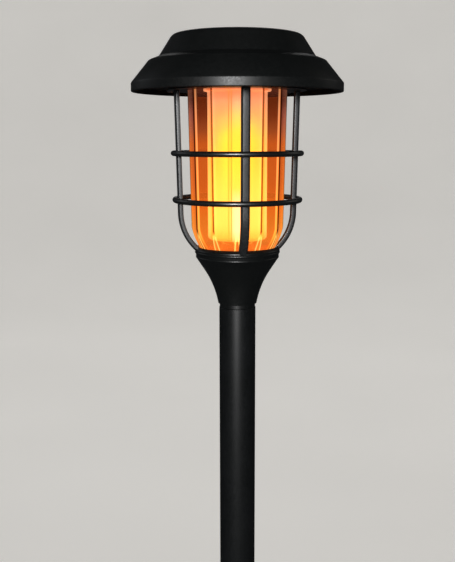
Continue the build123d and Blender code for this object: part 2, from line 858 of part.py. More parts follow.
with BuildPart() as battery_contacts:
    for contact_x in (-holder_inner / 2, holder_inner / 2 - contact_thickness):
        with BuildSketch(Plane.YZ.offset(contact_x)):
            with Locations((battery_offset, cell_axis_z - cell_radius / 3)):
                Rectangle(cell_radius, cell_radius)
        extrude(amount=contact_thickness)
save(battery_contacts, "battery_contacts")

# ================================================================ flame LEDs and their tube
with BuildPart() as flame_tube:
    tube_bottom = rim - flame_tube_drop
    with BuildSketch(Plane.XY.offset(tube_bottom)):
        Circle(flame_tube_radius)
    extrude(amount=tray_underside - tube_bottom)
    tube_end = flame_tube.edges().filter_by(GeomType.CIRCLE).group_by(Axis.Z)[0]
    fillet(tube_end, 2 * flame_tube_wall)
    # flange that the tray's socket presses down on
    with BuildSketch(Plane.XY.offset(flame_flange_bottom)):
        Circle(flame_tube_radius + flame_flange_width)
    extrude(amount=flame_flange_height)
    with BuildSketch(Plane.XY.offset(tube_bottom + flame_tube_wall)):
        Circle(flame_tube_radius - flame_tube_wall)
    extrude(amount=tray_underside - tube_bottom, mode=Mode.SUBTRACT)
save(flame_tube, "flame_tube")

led_core_bottom = tube_bottom + flame_tube_wall + led_core_clearance
with BuildPart() as led_core:
    with BuildSketch(Plane.XY.offset(led_core_bottom)):
        Circle(led_core_radius)
        Circle(led_core_radius - led_core_wall, mode=Mode.SUBTRACT)
    extrude(amount=tray_underside - led_core_bottom)
save(led_core, "led_core")

led_field_top = flame_flange_bottom
with BuildPart() as flame_led_board:
    board_inner = led_core_radius + press_clearance
    with BuildSketch(Plane.XY.offset(led_core_bottom)):
        Circle(board_inner + led_board_thickness)
        Circle(board_inner, mode=Mode.SUBTRACT)
    extrude(amount=led_field_top - led_core_bottom)
save(flame_led_board, "flame_led_board")

with BuildPart() as flame_leds:
    led_inner = board_inner + led_board_thickness
    led_pitch = (led_field_top - led_core_bottom) / led_rows
    for column in range(led_columns):
        column_angle = 360 / led_columns * column
        with BuildSketch(Plane.XZ.rotated((0, 0, column_angle)).offset(led_inner)):
            for row in range(led_rows):
                with Locations((0, led_core_bottom + led_pitch * (row + 0.5))):
                    Rectangle(led_width, led_height)
        extrude(amount=led_thickness)
save(flame_leds, "flame_leds")
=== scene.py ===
"""Solar flame torch for a garden path, dressed for the studio.

The pieces follow the torch as it is put together: stake and poles, collar and cage, lens and
flame tube, then the roof with its panel and electronics.  Sizes are in millimetres, and each
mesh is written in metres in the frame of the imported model.
"""

import math

import bmesh
import bpy
import numpy as np
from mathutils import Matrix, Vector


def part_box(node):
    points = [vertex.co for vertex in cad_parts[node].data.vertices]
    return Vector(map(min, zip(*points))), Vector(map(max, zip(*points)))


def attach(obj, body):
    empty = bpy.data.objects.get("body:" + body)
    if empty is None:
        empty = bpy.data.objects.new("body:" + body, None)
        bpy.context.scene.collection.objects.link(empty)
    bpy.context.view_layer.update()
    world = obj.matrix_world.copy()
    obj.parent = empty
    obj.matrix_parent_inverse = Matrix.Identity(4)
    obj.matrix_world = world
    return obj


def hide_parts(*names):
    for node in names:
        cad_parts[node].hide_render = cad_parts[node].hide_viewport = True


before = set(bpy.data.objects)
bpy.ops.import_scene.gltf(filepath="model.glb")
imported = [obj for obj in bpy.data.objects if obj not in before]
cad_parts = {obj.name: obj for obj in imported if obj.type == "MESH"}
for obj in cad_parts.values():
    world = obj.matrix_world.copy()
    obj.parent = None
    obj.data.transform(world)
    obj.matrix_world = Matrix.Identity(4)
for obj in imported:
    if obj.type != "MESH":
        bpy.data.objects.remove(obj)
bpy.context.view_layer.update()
mm = 0.001

# ================================================================ camera
# Long-lens view from just below the roof's edge, tilted down so that the cage stands in the
# upper half and the pole runs out of the bottom.  The small shift sets the pole off centre.
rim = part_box("roof_cap")[0].z / mm
camera_turn, camera_tilt = math.radians(-7.4), math.radians(9.96)
camera_reach, camera_drop = 563.7, 29.5
camera_data = bpy.data.cameras.new("torch_camera")
camera_data.lens = 52.52669
camera_data.sensor_width = 36
camera_data.shift_x = -0.01761566
camera_data.clip_start = 0.05
camera_data.clip_end = 60
camera = bpy.data.objects.new("torch_camera", camera_data)
bpy.context.scene.collection.objects.link(camera)
camera.location = (
    camera_reach * math.sin(camera_turn) * mm,
    -camera_reach * math.cos(camera_turn) * mm,
    (rim - camera_drop) * mm,
)
camera.rotation_euler = (math.pi / 2 - camera_tilt, 0, camera_turn)
bpy.context.scene.camera = camera


# ================================================================ floor and lights
# A seamless paper sweep that is flat under the stake and rises all round, lit by soft boxes.
# Matt paper: no gloss, with a faint mottle so that it doesn't look like a blank screen.
def linear(code):
    """Colour of an sRGB hex code in linear light."""
    share = np.array([int(code[i : i + 2], 16) for i in (1, 3, 5)]) / 255
    value = np.where(share <= 0.04045, share / 12.92, ((share + 0.055) / 1.055) ** 2.4)
    return (*value.tolist(), 1.0)


def add_node(tree, kind, settings=None, links=None, stops=None):
    """Add a node, set its sockets and properties by name, and feed its sockets from others,
    from a node's first live output or a given one.  A number names a socket by its place: a
    Mix blends 2 with 3 for values and 6 with 7 for colours.  Stops are a ramp's shares and
    hex codes."""
    node = tree.nodes.new("ShaderNode" + kind)
    for name, value in (settings or {}).items():
        if isinstance(name, int) or name in node.inputs:
            node.inputs[name].default_value = value
        else:
            setattr(node, name, value)
    for name, source in (links or {}).items():
        if isinstance(source, bpy.types.Node):
            source = next(socket for socket in source.outputs if socket.enabled)
        tree.links.new(source, node.inputs[name])
    stops = stops or {}
    for share in list(stops)[1:-1]:
        node.color_ramp.elements.new(share)
    for number, (share, code) in enumerate(stops.items()):
        node.color_ramp.elements[number].position = share
        node.color_ramp.elements[number].color = linear(code)
    return node


def new_finish(name):
    """Empty material, its node tree, and each point's place in its piece's own frame."""
    finish = bpy.data.materials.new(name)
    finish.use_nodes = True
    tree = finish.node_tree
    tree.nodes.clear()
    return finish, tree, add_node(tree, "TexCoord").outputs["Object"]


def grid(points, closed_rows=False, closed_columns=True):
    """Faces over a grid of points: each four neighbours make one, and closed sides join up."""
    rows, columns = points.shape[:2]
    index = np.arange(rows * columns).reshape(rows, columns)
    if closed_rows:
        index = np.vstack([index, index[:1]])
    if closed_columns:
        index = np.hstack([index, index[:, :1]])
    corners = (index[:-1, :-1], index[:-1, 1:], index[1:, 1:], index[1:, :-1])
    return points.reshape(-1, 3), np.stack(corners, axis=-1).reshape(-1, 4)


def piece(name, shells, finish, crease=35, marks=None):
    """One object from its shells: poles and doubled points merged, faces turned outwards,
    smooth except along edges sharper than the crease angle.  Marks are values that the
    finish reads at the points, kept as an attribute under their own name."""
    counts = np.cumsum([0] + [len(points) for points, faces in shells])
    points = np.vstack([points for points, faces in shells]) * mm
    faces = np.vstack([faces + count for (_, faces), count in zip(shells, counts)])
    mesh = bpy.data.meshes.new(name)
    mesh.from_pydata(points.tolist(), [], faces.tolist())
    for mark, values in (marks or {}).items():
        mesh.attributes.new(mark, "FLOAT", "POINT").data.foreach_set("value", values.ravel())
    work = bmesh.new()
    work.from_mesh(mesh)
    bmesh.ops.remove_doubles(work, verts=work.verts, dist=2e-6)
    bmesh.ops.recalc_face_normals(work, faces=work.faces)
    work.to_mesh(mesh)
    work.free()
    mesh.shade_smooth()
    mesh.set_sharp_from_angle(angle=math.radians(crease))
    mesh.materials.append(finish)
    made = bpy.data.objects.new(name, mesh)
    bpy.context.scene.collection.objects.link(made)
    return made


def turned(profile, steps=192):
    """Points of a profile carried round the Z axis: x = r cos a, y = r sin a, z = z."""
    angle = np.linspace(0, 2 * np.pi, steps, endpoint=False)
    radius, height = np.asarray(profile, float).T[:, :, None]
    return np.stack([radius * np.cos(angle), radius * np.sin(angle), height + 0 * angle], axis=-1)


paper, tree, place = new_finish("background_paper_matt")
mottle = add_node(tree, "TexNoise", {"Scale": 1.3, "Detail": 4.0}, {"Vector": place})
tint = add_node(tree, "ValToRGB", links={"Fac": mottle}, stops={0.0: "#dcdad6", 1.0: "#e6e4e0"})
shader = add_node(
    tree,
    "BsdfPrincipled",
    {"Roughness": 0.9, "Specular IOR Level": 0.1, "Emission Strength": 0.55},
    {"Base Color": tint, "Emission Color": tint},
)
add_node(tree, "OutputMaterial", links={"Surface": shader})

# flat out to 3 m, half a millimetre under the stake's tip, and then rising as the square of
# the distance, 5.6 m high at 9 m
paper_flat, paper_reach, paper_rise = 3000, 9000, 5600
paper_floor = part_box("ground_stake")[0].z / mm - 0.5
sweep_reach = np.concatenate(
    [[0], np.linspace(300, paper_flat, 10), np.linspace(paper_flat + 100, paper_reach, 40)]
)
sweep_share = np.clip((sweep_reach - paper_flat) / (paper_reach - paper_flat), 0, 1)
sweep_line = np.stack([sweep_reach, paper_floor + paper_rise * sweep_share**2], axis=-1)
floor = piece("paper_sweep", [grid(turned(sweep_line, 128))], paper)
floor.visible_glossy = False

world = bpy.data.worlds.new("studio")
bpy.context.scene.world = world
world.use_nodes = True
sky = world.node_tree
sky_way = add_node(sky, "TexCoord")
split = add_node(sky, "SeparateXYZ", links={"Vector": sky_way.outputs["Generated"]})
ceiling = add_node(
    sky, "ValToRGB", links={"Fac": split.outputs["Z"]}, stops={0.1: "#3c3e41", 0.75: "#141517"}
)
sky.links.new(ceiling.outputs["Color"], sky.nodes["Background"].inputs["Color"])
sky.nodes["Background"].inputs["Strength"].default_value = 0.5

lamp_plan = (
    # name, degrees from the camera's side, distance, height, width, watts, colour
    ("front_box", -5.5, 1500, 880, 290, 48.0, "#ffffff"),
    ("left_wash", -115.0, 2300, 1500, 1400, 3.0, "#f7f9ff"),
    ("right_wash", 115.0, 2300, 1500, 1400, 2.5, "#fffaf4"),
    ("back_wash", 180.0, 3200, 2600, 1600, 9.0, "#ffffff"),
    ("panel_box", 70.0, 1700, 3000, 1300, 70.0, "#ffffff"),
)
for lamp_name, turn, distance, height, width, power, colour in lamp_plan:
    lamp_data = bpy.data.lights.new(lamp_name, "AREA")
    lamp_data.shape = "DISK"
    lamp_data.size = width * mm
    lamp_data.energy = power
    lamp_data.color = linear(colour)[:3]
    lamp = bpy.data.objects.new(lamp_name, lamp_data)
    bpy.context.scene.collection.objects.link(lamp)
    angle = camera_turn + math.radians(turn)
    spot = np.array([distance * math.sin(angle), -distance * math.cos(angle), height]) * mm
    lamp.location = spot
    aim = np.array([0, 0, rim * mm]) - spot
    lamp.rotation_euler = (
        math.atan2(math.hypot(aim[0], aim[1]), -aim[2]),
        0,
        math.atan2(aim[1], aim[0]) - math.pi / 2,
    )
    lamp.visible_camera = False
    if lamp_name == "front_box":
        # flags keep this one's light off the paper, which would burn out around the torch
        flags = bpy.data.collections.new("front_box_flags")
        flags.objects.link(floor)
        flags.collection_objects[0].light_linking.link_state = "EXCLUDE"
        lamp.light_linking.receiver_collection = flags
    if lamp_name == "panel_box":
        # this one lights the solar panel alone
        panel_only = bpy.data.collections.new("panel_box_flags")
        lamp.light_linking.receiver_collection = panel_only

bpy.context.scene.view_settings.view_transform = "Standard"


# ================================================================ ground stake
# Crossed blades with a plug that pushes up into the lower pole.  Glass-filled ABS, moulded
# in one shot; the blades are left with the tool's coarse texture, so they look dry and grey.
def moulded(name, low, high, rough, grain, relief, shine=0.5):
    """Moulded plastic, powder coat or rubber.  The colour drifts between two codes over about
    18 mm, the grain is the spacing of the skin's texture in millimetres, and relief is how
    deep it reads.  A real spark or orange-peel texture repeats every 0.1 to 0.3 mm, too fine
    to show, so the grain is drawn three to ten times as coarse."""
    finish, tree, place = new_finish(name)
    flow = add_node(tree, "TexNoise", {"Scale": 1 / (18 * mm), "Detail": 3.0}, {"Vector": place})
    spark = add_node(
        tree,
        "TexNoise",
        {"Scale": 1 / (grain * mm), "Detail": 2.0, "Roughness": 0.6},
        {"Vector": place},
    )
    blend = add_node(tree, "Math", {"operation": "MULTIPLY_ADD", 1: 0.35}, {0: flow, 2: spark})
    tint = add_node(tree, "ValToRGB", links={"Fac": blend}, stops={0.5: low, 0.85: high})
    gloss = add_node(
        tree,
        "MapRange",
        {"From Min": 0.3, "From Max": 0.7, "To Min": rough - 0.05, "To Max": rough + 0.07},
        {"Value": spark},
    )
    bump = add_node(
        tree, "Bump", {"Strength": relief, "Distance": 0.12 * grain * mm}, {"Height": spark}
    )
    shader = add_node(
        tree,
        "BsdfPrincipled",
        {"IOR": 1.53, "Specular IOR Level": shine},
        {"Base Color": tint, "Roughness": gloss, "Normal": bump},
    )
    add_node(tree, "OutputMaterial", links={"Surface": shader})
    return finish


stake_abs = moulded(
    "glass_filled_abs_textured", "#0c0c0d", "#1a1b1c", rough=0.55, grain=1.1, relief=0.6
)


def stand_for(made, node, body):
    """The piece takes a CAD node's place: it rides on that body, and the node is hidden."""
    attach(made, body)
    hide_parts(node)


def softened(node, body, finish, width):
    """Stand-in for a CAD node: its own mesh with the loose triangles merged, its flat faces
    joined up, and every sharp edge rounded over a width in millimetres."""
    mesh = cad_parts[node].data.copy()
    work = bmesh.new()
    work.from_mesh(mesh)
    bmesh.ops.remove_doubles(work, verts=work.verts, dist=2e-6)
    bmesh.ops.dissolve_limit(
        work, angle_limit=math.radians(0.5), verts=work.verts, edges=work.edges
    )
    work.to_mesh(mesh)
    work.free()
    mesh.materials.clear()
    mesh.materials.append(finish)
    mesh.shade_smooth()
    mesh.set_sharp_from_angle(angle=math.radians(35))
    made = bpy.data.objects.new(f"{node}_moulded", mesh)
    bpy.context.scene.collection.objects.link(made)
    bevel = made.modifiers.new("edge_round", "BEVEL")
    bevel.width = width * mm
    bevel.segments = 2
    bevel.limit_method = "ANGLE"
    bevel.angle_limit = math.radians(35)
    bevel.harden_normals = True
    stand_for(made, node, body)


softened("ground_stake", "stake", stake_abs, width=0.4)


# ================================================================ pole
# Two lengths of thin steel tube with a moulded coupler between them.  The tube is powder
# coated black: a satin skin with fine orange peel and a speckle that catches the light.
def eased(corners, radii, steps=5):
    """Closed outline with each corner turned to an arc.  Between the tangent points A and B
    of a corner P the arc is the rational curve ((1-s)^2 A + 2 w s (1-s) P + s^2 B) divided
    by ((1-s)^2 + 2 w s (1-s) + s^2), where w is the sine of half the corner's angle."""
    corner = np.asarray(corners, float)
    back = np.roll(corner, 1, axis=0) - corner
    ahead = np.roll(corner, -1, axis=0) - corner
    back_run = np.linalg.norm(back, axis=1, keepdims=True)
    ahead_run = np.linalg.norm(ahead, axis=1, keepdims=True)
    back, ahead = back / back_run, ahead / ahead_run
    half = np.arccos(np.clip((back * ahead).sum(1, keepdims=True), -1, 1)) / 2
    cut = np.asarray(radii, float).reshape(-1, 1) / np.tan(np.maximum(half, 1e-3))
    cut = np.minimum(cut, 0.49 * np.minimum(back_run, ahead_run))
    start, end = (corner + back * cut)[:, None], (corner + ahead * cut)[:, None]
    s = np.linspace(0, 1, steps + 1)[None, :, None]
    weight = 2 * np.sin(half)[:, None] * s * (1 - s)
    top = (1 - s) ** 2 * start + weight * corner[:, None] + s**2 * end
    return (top / ((1 - s) ** 2 + weight + s**2)).reshape(-1, 2)


pole_coat = moulded(
    "steel_tube_black_powder_coat", "#040505", "#0c0d0e", rough=0.42, grain=0.9, relief=0.35,
    shine=0.13,
)
pole_radius, pole_bore, pole_edge = 12.7, 11.2, 0.5
for pole_name in ("lower_pole", "upper_pole"):
    foot, head = (corner.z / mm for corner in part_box(pole_name))
    wall = [(pole_radius, foot), (pole_radius, head), (pole_bore, head), (pole_bore, foot)]
    wall = eased(wall, [pole_edge] * 4)
    tube = piece(pole_name + "_tube", [grid(turned(wall, 160), closed_rows=True)], pole_coat)
    stand_for(tube, pole_name, pole_name)

# a shade greyer and duller than the coat, so that the joint shows as a thin band
coupler_abs = moulded(
    "coupler_abs_fine_texture", "#0a0b0b", "#151616", rough=0.5, grain=0.8, relief=0.4
)
softened("pole_coupler", "lower_pole", coupler_abs, width=0.2)

# ================================================================ collar
# Flared neck under the lens.  ABS, moulded with a smooth matt skin that shows one broad dim
# highlight; two fine beads run round its band, and its hollow plug pushes down into the pole.
pole_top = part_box("upper_pole")[1].z / mm


def tangent_arc(start, direction, end, steps):
    """Arc that leaves start along a direction and reaches end.  Its two equal tangents meet
    at start + t d, with t = |v|^2 / (2 v.d) and v = end - start, and between them it is the
    same rational curve as an eased corner."""
    start, end = np.asarray(start, float), np.asarray(end, float)
    d = np.asarray(direction, float) / np.linalg.norm(direction)
    v = end - start
    meet = start + d * (v @ v) / (2 * v @ d)
    to_end = (end - meet) / np.linalg.norm(end - meet)
    weight = np.sin(np.arccos(np.clip(-d @ to_end, -1, 1)) / 2)
    s = np.linspace(0, 1, steps + 1)[:, None]
    top = (1 - s) ** 2 * start + 2 * weight * s * (1 - s) * meet + s**2 * end
    return top / ((1 - s) ** 2 + 2 * weight * s * (1 - s) + s**2)


neck_foot, cone_foot = (13.4, 2.8), (22.6, 26.0)
band_foot, band_head = np.array([28.3, 34.8]), np.array([29.3, 40.0])
neck_curve = tangent_arc(cone_foot, (-5.7, -8.8), neck_foot, 20)[::-1]
band_run = np.linspace(0, 1, 60)[:, None]
band = band_foot + (band_head - band_foot) * band_run
band_length = np.linalg.norm(band_head - band_foot)
out = np.array([band_head[1] - band_foot[1], band_foot[0] - band_head[0]]) / band_length
bead_radius, bead_sink = 0.9, 0.55
for bead_share in (0.12, 0.76):
    away = (band_run - bead_share) * band_length
    swell = np.sqrt(np.maximum(bead_radius**2 - away**2, 0)) - bead_sink
    band = band + out * np.maximum(swell, 0)
lip = tangent_arc(band_head, (1.0, 5.2), (28.9, 41.2), 3)
# the mouth's rim, the seat that the lens stands over, the hollow down to the plug's foot, and
# the plug's outside up to the shoulder that rests on the pole
mouth = np.array(
    [(27.7, 42.55), (27.45, 42.7), (27.25, 42.6), (27.2, 39.6), (22.2, 39.6), (22.2, 36.1)]
    + [(19.1, 26.0), (8.8, 5.0), (8.8, -38.0), (10.0, -38.0), (11.0, -36.8), (11.0, 0.0)]
    + [(12.15, 0.0), (12.35, 0.2), (12.35, 2.8), (13.2, 2.8)]
)
collar_line = np.vstack([neck_curve, band, lip, mouth]) + [0, pole_top]
collar_abs = moulded(
    "collar_abs_smooth_matt", "#040505", "#090a0a", rough=0.34, grain=0.7, relief=0.18, shine=0.26
)
collar_shell = grid(turned(collar_line, 224), closed_rows=True)
collar = piece("collar_turned", [collar_shell], collar_abs, crease=28)
stand_for(collar, "collar", "lantern")

# ================================================================ cage ribs
# Four flat ribs with bevelled outer corners, straight down from the top ring and then bent
# in to the collar.  The same ABS with a spark texture that shows as a dry grey speckle.
cage_abs = moulded(
    "cage_abs_spark_texture", "#0a0b0c", "#1d1e1f", rough=0.35, grain=0.75, relief=0.35, shine=0.3
)
rib_width, rib_depth, rib_bevel = 5.9, 3.6, 1.2
rib_top_radius, rib_bend_radius, rib_foot_radius = 42.7, 40.8, 29.3
top_ring_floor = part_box("cage_top_ring")[0].z / mm
top_ring_roof = rim + 3.3
rib_foot = pole_top + band_head[1]
rib_bend = rib_foot + 25.6
rib_fall = np.array([rib_bend_radius - rib_top_radius, rib_bend - top_ring_roof])
rib_run = np.linspace(0, 1, 40)[:, None]
rib_top = np.array([rib_top_radius, top_ring_roof]) + rib_fall * (
    (top_ring_roof - top_ring_floor) / -rib_fall[1]
)
rib_straight = rib_top + (np.array([rib_bend_radius, rib_bend]) - rib_top) * rib_run
rib_curve = tangent_arc(rib_straight[-1], rib_fall, (rib_foot_radius, rib_foot), 24)[1:]
# two more steps bury each rib's end in the collar
rib_tail = rib_curve[-1] + (rib_curve[-1] - rib_curve[-2]) * np.array([[1.0], [2.0]])
rib_line = np.vstack([rib_straight, rib_curve, rib_tail])
along = np.gradient(rib_line, axis=0)
along /= np.linalg.norm(along, axis=1, keepdims=True)
outward = np.stack([-along[:, 1], along[:, 0]], axis=-1)
half = rib_width / 2
rib_section = eased(
    [
        (-half, -rib_depth),
        (-half, -rib_bevel),
        (-half + rib_bevel, 0),
        (half - rib_bevel, 0),
        (half, -rib_bevel),
        (half, -rib_depth),
    ],
    [0.4, 0.35, 0.35, 0.35, 0.35, 0.4],
    4,
)


def swept_rib(turn):
    """The section carried along the rib's line: a point stands at line + depth x outward in
    the radial plane and at its width across it, turned about Z to the rib's place."""
    reach = rib_line[:, None, :] + rib_section[None, :, 1:] * outward[:, None, :]
    across = np.broadcast_to(rib_section[:, 0], reach.shape[:2])
    middle = reach.mean(axis=1, keepdims=True)[[0, -1]]
    reach = np.vstack([0 * reach[:1] + middle[:1], reach, 0 * reach[:1] + middle[1:]])
    across = np.vstack([0 * across[:1], across, 0 * across[:1]])
    c, s = math.cos(turn), math.sin(turn)
    return np.stack(
        [reach[..., 0] * c - across * s, reach[..., 0] * s + across * c, reach[..., 1]], axis=-1
    )


for number, rib_name in enumerate(("right", "back", "left", "front")):
    rib_shell = grid(swept_rib(number * math.pi / 2))
    rib = piece(f"rib_{rib_name}", [rib_shell], cage_abs, crease=25)
    stand_for(rib, f"cage_rib_{rib_name}", "lantern")

# ================================================================ cage rings
# Two hoops of round bar that lie in shallow saddles on the ribs, moulded with them, and the
# flat ring at the ribs' top with its bayonet lugs.  The same ABS, but smooth and glossier, so
# that each hoop carries a thin bright line.
hoop_abs = moulded(
    "hoop_abs_smooth", "#050606", "#0b0c0c", rough=0.34, grain=0.8, relief=0.2, shine=0.45
)
ring_bar, ring_bite = 3.7, 0.25
bar_turn = np.linspace(0, 2 * np.pi, 28, endpoint=False)
for ring_name, ring_drop in (("upper", 40.3), ("lower", 71.6)):
    ring_z = rim - ring_drop
    face = rib_bend_radius + (rib_top_radius - rib_bend_radius) * (ring_z - rib_bend) / (
        top_ring_roof - rib_bend
    )
    hoop = face - ring_bite + ring_bar / 2
    bar = np.stack([np.cos(bar_turn), np.sin(bar_turn)], axis=-1) * ring_bar / 2
    ring_shell = grid(turned(bar + [hoop, ring_z], 256), closed_rows=True)
    ring = piece(f"{ring_name}_hoop", [ring_shell], hoop_abs, crease=60)
    stand_for(ring, f"{ring_name}_cage_ring", "lantern")

softened("cage_top_ring", "lantern", hoop_abs, width=0.3)

# ================================================================ lens
# Twelve-sided tapered cup of clear amber acrylic, 1.6 mm thick, with a round flange that is
# held under the cage's top ring.  Polished tool: flat facets, a gentle waviness, soft edges.
lens_foot, lens_head = (corner.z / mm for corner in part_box("lens"))
lens_radius, lens_facets, lens_wall = 33.6, 12, 1.6
lens_turn, lens_taper = math.radians(-7.4), math.radians(1.25)
round_rise, round_inset, round_bulge = 16.2, 6.8, 0.95
flange_radius, flange_thick, flange_edge = 36.6, 1.6, 0.3


def height_share(tree, place, low, high):
    """Share of the way up a piece, 0 at low and 1 at high, both in millimetres."""
    split = add_node(tree, "SeparateXYZ", links={"Vector": place})
    return add_node(
        tree,
        "MapRange",
        {"From Min": low * mm, "From Max": high * mm},
        {"Value": split.outputs["Z"]},
    )


def bearing(tree, place):
    """Angle of each point round the axis, in radians from the X axis."""
    split = add_node(tree, "SeparateXYZ", links={"Vector": place})
    return add_node(
        tree, "Math", {"operation": "ARCTAN2"}, {0: split.outputs["Y"], 1: split.outputs["X"]}
    )


def beat(tree, around, turn, count):
    """Cosine round the axis that peaks count times, the first time at the turn."""
    phase = add_node(
        tree, "Math", {"operation": "MULTIPLY_ADD", 1: count, 2: -count * turn}, {0: around}
    )
    return add_node(tree, "Math", {"operation": "COSINE"}, {0: phase})


# painted light: this finish gives the lens a painted glow of its own, with painted highlight and
# shade lines at its corners
amber, tree, place = new_finish("amber_acrylic_painted_glow")
stretch = add_node(tree, "Mapping", {"Scale": (1.0, 1.0, 0.18)}, {"Vector": place})
wave = add_node(tree, "TexNoise", {"Scale": 1 / (6 * mm), "Detail": 1.0}, {"Vector": stretch})
bump = add_node(tree, "Bump", {"Strength": 0.1, "Distance": 0.2 * mm}, {"Height": wave})
lens_rise = height_share(tree, place, lens_foot, lens_head)
# painted glow: emission that stands in for the flame's light carried round inside the wall,
# strongest low down by the flame
painted_wall_glow = add_node(
    tree,
    "ValToRGB",
    links={"Fac": lens_rise},
    stops={
        0.0: "#63300d", 0.085: "#5c370f", 0.17: "#53320c", 0.26: "#542c09",
        0.41: "#4a2408", 0.65: "#442108", 0.73: "#2e1709", 0.82: "#1a0904",
        0.91: "#070302", 0.955: "#180b07", 1.0: "#1e0e08",
    },
)
# painted highlight colour for the bright corner lines, paler and cooler towards the top
painted_corner_highlight = add_node(
    tree,
    "ValToRGB",
    links={"Fac": lens_rise},
    stops={0.0: "#e0d0a4", 0.3: "#e4dcc4", 0.6: "#d4ccdc", 0.85: "#b8c0f0", 1.0: "#8890b0"},
)
# the corners' marks for painted lines: below zero on the outer skin, for a painted shade line
# along a corner, and above zero on the inner skin, for a painted highlight line along a corner
# between two flames
corner_mark = add_node(tree, "Attribute", {"attribute_name": "painted_corner_line"})
corner, inner_corner = (
    add_node(
        tree,
        "MapRange",
        {"interpolation_type": "SMOOTHSTEP", "From Min": 0.25 * side, "From Max": 0.6 * side},
        {"Value": corner_mark.outputs["Fac"]},
    )
    for side in (-1, 1)
)
around = bearing(tree, place)
pair = beat(tree, around, lens_turn - math.pi / 2, 2)
dark_corner = add_node(tree, "MapRange", {"From Min": 0.9, "From Max": 0.6}, {"Value": pair})
# in the round the painted shade lines fade out, and painted highlight arches under the corners
# take their place
in_round = height_share(tree, place, lens_foot, lens_foot + round_rise)
round_part = add_node(
    tree,
    "ValToRGB",
    links={"Fac": in_round},
    stops={0.0: "#ffffff", 0.7: "#ffffff", 0.95: "#000000"},
)
shade = add_node(tree, "Math", {"operation": "MULTIPLY"}, {0: corner, 1: dark_corner})
shade = add_node(tree, "Mix", {"data_type": "FLOAT", 3: 0.0}, {0: round_part, 2: shade})
arch = add_node(
    tree,
    "MapRange",
    {"interpolation_type": "SMOOTHSTEP", "From Min": -0.05, "From Max": -0.5},
    {"Value": corner_mark.outputs["Fac"]},
)
arch = add_node(tree, "Math", {"operation": "MULTIPLY"}, {0: arch, 1: round_part})
# the painted highlight lines go only on the corners that this beat picks out
third = beat(tree, around, lens_turn - math.pi / 2, 3)
lit_corner = add_node(tree, "MapRange", {"From Min": 0.2, "From Max": -1.0}, {"Value": third})
corner_light = add_node(tree, "Math", {"operation": "MULTIPLY"}, {0: inner_corner, 1: lit_corner})
glow = add_node(tree, "Mix", {"data_type": "RGBA"}, {0: corner_light, 6: painted_wall_glow, 7: painted_corner_highlight})
# more painted glow on the flats seen edge on, either side
edge_on = add_node(tree, "MapRange", {"From Min": -0.4, "From Max": -0.9}, {"Value": pair})
edge_light = add_node(
    tree,
    "ValToRGB",
    links={"Fac": lens_rise},
    stops={
        0.0: "#592a0b", 0.085: "#53310c", 0.17: "#4a2c0a", 0.26: "#4b2707",
        0.41: "#422006", 0.65: "#3d1d06", 0.73: "#3b2215", 0.82: "#38231c",
        0.91: "#1e130d", 1.0: "#1a100b",
    },
)
glow = add_node(
    tree, "Mix", {"data_type": "RGBA", "blend_type": "ADD"}, {0: edge_on, 6: glow, 7: edge_light}
)
# painted highlight arches add a pale yellow glow under the corners in the round
glow = add_node(
    tree,
    "Mix",
    {"data_type": "RGBA", "blend_type": "ADD", 7: linear("#5a6030")},
    {0: arch, 6: glow},
)
# painted shade lines: along the marked corners both the glow and the wall's colour turn dark
glow = add_node(tree, "Mix", {"data_type": "RGBA", 7: linear("#0a0000")}, {0: shade, 6: glow})
tint = add_node(
    tree, "Mix", {"data_type": "RGBA", 6: linear("#f9f7f3"), 7: linear("#54301a")}, {0: shade}
)
# the emission carries the painted glow, the painted highlight lines and the painted arches
# acrylic bends light by 1.49, but twelve flats at 1.12 leave the tube's edges whole and upright
shader = add_node(
    tree,
    "BsdfPrincipled",
    {"Roughness": 0.04, "IOR": 1.12, "Transmission Weight": 1.0, "Emission Strength": 4.0},
    {"Base Color": tint, "Normal": bump, "Emission Color": glow},
)
# 1.6 mm of the plastic lets through about 0.53 of the red, 0.24 of the green, 0.08 of the blue
body_tint = add_node(tree, "VolumeAbsorption", {"Color": linear("#e1b22f"), "Density": 1600.0})
add_node(tree, "OutputMaterial", links={"Surface": shader, "Volume": body_tint})

# a corner's strip: its half angle on the sides, and what the foot adds to that
corner_soft, corner_wide = math.radians(0.35), math.radians(4.2)
half_facet = math.pi / lens_facets
facet_turns = lens_turn + 2 * half_facet * (np.arange(lens_facets)[:, None] + 0.5)


